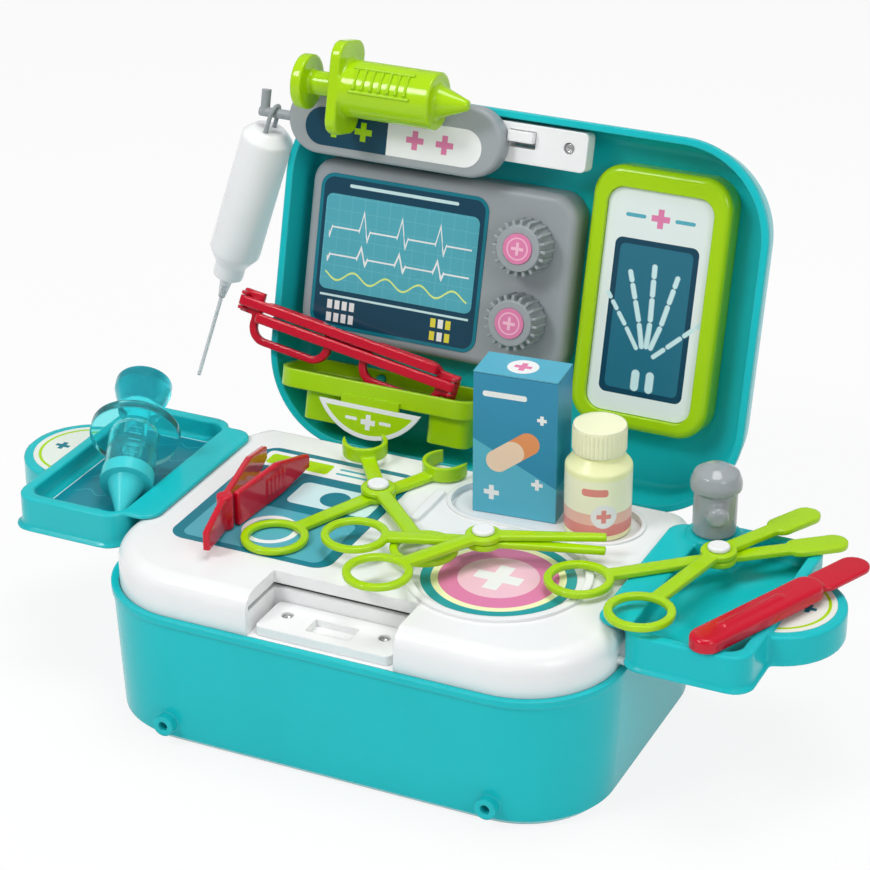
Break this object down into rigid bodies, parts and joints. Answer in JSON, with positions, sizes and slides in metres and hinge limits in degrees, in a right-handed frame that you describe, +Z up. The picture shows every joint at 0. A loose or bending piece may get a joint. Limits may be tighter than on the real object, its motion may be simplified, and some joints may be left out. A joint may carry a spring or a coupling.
{
  "type": "toy doctor case",
  "caption": "Toy doctor case standing open: a tub with a play deck and side trays, a hinged lid with a mock monitor, and play instruments set out.",
  "frame": {"origin": "middle of the tub's underside, on the floor", "axes": "+X to the player's right, +Y to the back where the lid is hinged, +Z up"},
  "size_m": [0.448, 0.272, 0.2982],
  "materials": {
    "turquoise_plastic": "moulded, semi-gloss",
    "white_plastic": "moulded, semi-gloss",
    "lime_plastic": "moulded, semi-gloss",
    "red_plastic": "moulded, gloss",
    "grey_plastic": "moulded, satin",
    "pink_plastic": "moulded, semi-gloss",
    "yellow_plastic": "moulded, semi-gloss",
    "clear_plastic": "translucent, gloss",
    "steel": "plated",
    "printed_film": "printed, gloss",
    "printed_card": "printed, satin"
  },
  "bodies": {
    "base": {"base_shell": "turquoise_plastic", "hinge_pins": "steel", "deck": "white_plastic", "base_latch_block": "white_plastic", "base_latch_screws": "steel", "deck_label": "printed_film", "dish_label": "printed_film", "recess_label": "printed_film"},
    "lid": {"lid_shell": "turquoise_plastic", "lid_latch_block": "white_plastic", "lid_latch_screws": "steel", "monitor_housing": "grey_plastic", "monitor_label": "printed_film", "xray_frame": "lime_plastic", "xray_card": "printed_card"},
    "latch_tongue": {"latch_tongue": "white_plastic"},
    "knob_upper": {"knob_upper": "grey_plastic", "knob_upper_cap": "pink_plastic"},
    "knob_lower": {"knob_lower": "grey_plastic", "knob_lower_cap": "pink_plastic"},
    "shelf": {"shelf": "lime_plastic", "shelf_badge": "white_plastic"},
    "glasses": {"glasses_front": "red_plastic", "glasses_hinge_pins": "steel"},
    "glasses_temple_left": {"glasses_temple_left": "red_plastic"},
    "glasses_temple_right": {"glasses_temple_right": "red_plastic"},
    "sign": {"sign_bar": "grey_plastic", "sign_label": "printed_film", "iv_arm": "grey_plastic"},
    "drip": {"iv_bottle": "white_plastic", "iv_nozzle": "white_plastic", "iv_needle": "white_plastic", "iv_loop": "grey_plastic"},
    "lime_syringe": {"lime_syringe_barrel": "lime_plastic"},
    "lime_plunger": {"lime_syringe_plunger": "lime_plastic"},
    "left_tray": {"left_tray": "turquoise_plastic", "left_tray_sticker": "printed_film"},
    "teal_syringe": {"teal_syringe_barrel": "clear_plastic", "teal_syringe_tip": "clear_plastic"},
    "teal_plunger": {"teal_syringe_plunger": "clear_plastic"},
    "right_tray": {"right_tray": "turquoise_plastic", "right_tray_sticker": "printed_film"},
    "faucet": {"faucet_post": "grey_plastic", "faucet_cap": "grey_plastic"},
    "scalpel": {"scalpel": "red_plastic"},
    "forceps": {"forceps_first_arm": "lime_plastic", "forceps_rivet": "white_plastic"},
    "forceps_arm": {"forceps_second_arm": "lime_plastic"},
    "clamp": {"clamp_first_arm": "lime_plastic", "clamp_rivet": "white_plastic"},
    "clamp_arm": {"clamp_second_arm": "lime_plastic"},
    "scissors": {"scissors_first_arm": "lime_plastic", "scissors_rivet": "white_plastic"},
    "scissors_arm": {"scissors_second_arm": "lime_plastic"},
    "tweezers": {"tweezers_left_arm": "red_plastic"},
    "tweezers_arm": {"tweezers_right_arm": "red_plastic"},
    "carton": {"carton": "printed_card"},
    "carton_flap": {"carton_flap": "printed_card"},
    "bottle": {"bottle": "yellow_plastic"},
    "bottle_cap": {"bottle_cap": "yellow_plastic"}
  },
  "joints": [
    {"name": "lid_hinge", "type": "hinge", "parent": "base", "child": "lid", "pos_m": [0, 0.1005, 0.072], "axis": [1, 0, 0], "range_deg": [0, 22]},
    {"name": "latch_tongue_press", "type": "slide", "parent": "lid", "child": "latch_tongue", "axis": [0, -0.2419, -0.9703], "range_m": [0, 0.0028], "stiffness_N_per_m": 300, "springref_m": -0.001},
    {"name": "knob_upper_turn", "type": "hinge", "parent": "lid", "child": "knob_upper", "pos_m": [0.0055, 0.13759, 0.19596], "axis": [0, -0.9703, 0.2419], "continuous": true},
    {"name": "knob_lower_turn", "type": "hinge", "parent": "lid", "child": "knob_lower", "pos_m": [0.0055, 0.12803, 0.15763], "axis": [0, -0.9703, 0.2419], "continuous": true},
    {"name": "shelf_lift", "type": "slide", "parent": "lid", "child": "shelf", "axis": [0, 0.2419, 0.9703], "range_m": [0, 0.012]},
    {"name": "glasses_lift", "type": "slide", "parent": "shelf", "child": "glasses", "axis": [0, 0.2419, 0.9703], "range_m": [0, 0.018]},
    {"name": "temple_left_fold", "type": "hinge", "parent": "glasses", "child": "glasses_temple_left", "pos_m": [-0.15087, 0.11095, 0.14738], "axis": [0.1464, 0.372, 0.9166], "range_deg": [-85, 0]},
    {"name": "temple_right_fold", "type": "hinge", "parent": "glasses", "child": "glasses_temple_right", "pos_m": [-0.02327, 0.10384, 0.12269], "axis": [0.1464, 0.372, 0.9166], "range_deg": [0, 85]},
    {"name": "sign_pull", "type": "slide", "parent": "lid", "child": "sign", "axis": [0, -0.9703, 0.2419], "range_m": [0, 0.012]},
    {"name": "drip_swing", "type": "hinge", "parent": "sign", "child": "drip", "pos_m": [-0.1438, 0.13883, 0.24641], "axis": [1, 0, 0], "range_deg": [-20, 20]},
    {"name": "lime_syringe_lift", "type": "slide", "parent": "sign", "child": "lime_syringe", "axis": [0, 0.2419, 0.9703], "range_m": [0, 0.03]},
    {"name": "lime_plunger_slide", "type": "slide", "parent": "lime_syringe", "child": "lime_plunger", "axis": [1, 0, 0], "range_m": [-0.018, 0.0145]},
    {"name": "left_tray_lift", "type": "slide", "parent": "base", "child": "left_tray", "axis": [0, 0, 1], "range_m": [0, 0.04]},
    {"name": "teal_syringe_lift", "type": "slide", "parent": "left_tray", "child": "teal_syringe", "axis": [0, 0, 1], "range_m": [0, 0.04]},
    {"name": "teal_plunger_slide", "type": "slide", "parent": "teal_syringe", "child": "teal_plunger", "axis": [-0.3323, 0.8656, 0.3746], "range_m": [-0.0095, 0.012]},
    {"name": "right_tray_lift", "type": "slide", "parent": "base", "child": "right_tray", "axis": [0, 0, 1], "range_m": [0, 0.04]},
    {"name": "faucet_swivel", "type": "hinge", "parent": "right_tray", "child": "faucet", "pos_m": [0.142, 0.055, 0.0983], "axis": [0, 0, 1], "continuous": true},
    {"name": "scalpel_lift", "type": "slide", "parent": "right_tray", "child": "scalpel", "axis": [0, 0, 1], "range_m": [0, 0.04]},
    {"name": "forceps_lift", "type": "slide", "parent": "right_tray", "child": "forceps", "axis": [0, 0, 1], "range_m": [0, 0.04]},
    {"name": "forceps_pivot", "type": "hinge", "parent": "forceps", "child": "forceps_arm", "pos_m": [0.153, 0.0305, 0.0993], "axis": [0, 0, 1], "range_deg": [-18, 6]},
    {"name": "clamp_lift", "type": "slide", "parent": "base", "child": "clamp", "axis": [0, 0, 1], "range_m": [0, 0.04]},
    {"name": "clamp_pivot", "type": "hinge", "parent": "clamp", "child": "clamp_arm", "pos_m": [-0.028, 0.025, 0.0971], "axis": [0, 0, 1], "range_deg": [-12, 10]},
    {"name": "scissors_lift", "type": "slide", "parent": "clamp", "child": "scissors", "axis": [0, 0, 1], "range_m": [0, 0.04]},
    {"name": "scissors_pivot", "type": "hinge", "parent": "scissors", "child": "scissors_arm", "pos_m": [0.046, -0.01, 0.1041], "axis": [0, 0, 1], "range_deg": [-10, 8]},
    {"name": "tweezers_lift", "type": "slide", "parent": "base", "child": "tweezers", "axis": [0, 0, 1], "range_m": [0, 0.04]},
    {"name": "tweezers_squeeze", "type": "hinge", "parent": "tweezers", "child": "tweezers_arm", "pos_m": [-0.083, -0.036, 0.0936], "axis": [0, 0, 1], "range_deg": [0, 14], "stiffness_Nm_per_rad": 0.05},
    {"name": "carton_lift", "type": "slide", "parent": "base", "child": "carton", "axis": [0, 0, 1], "range_m": [0, 0.05]},
    {"name": "carton_flap_open", "type": "hinge", "parent": "carton", "child": "carton_flap", "pos_m": [0.03895, 0.06295, 0.1684], "axis": [-0.9962, -0.0872, 0], "range_deg": [0, 100]},
    {"name": "bottle_lift", "type": "slide", "parent": "base", "child": "bottle", "axis": [0, 0, 1], "range_m": [0, 0.05]},
    {"name": "bottle_cap_turn", "type": "hinge", "parent": "bottle", "child": "bottle_cap", "pos_m": [0.083, 0.0475, 0.1344], "axis": [0, 0, 1], "continuous": true}
  ]
}
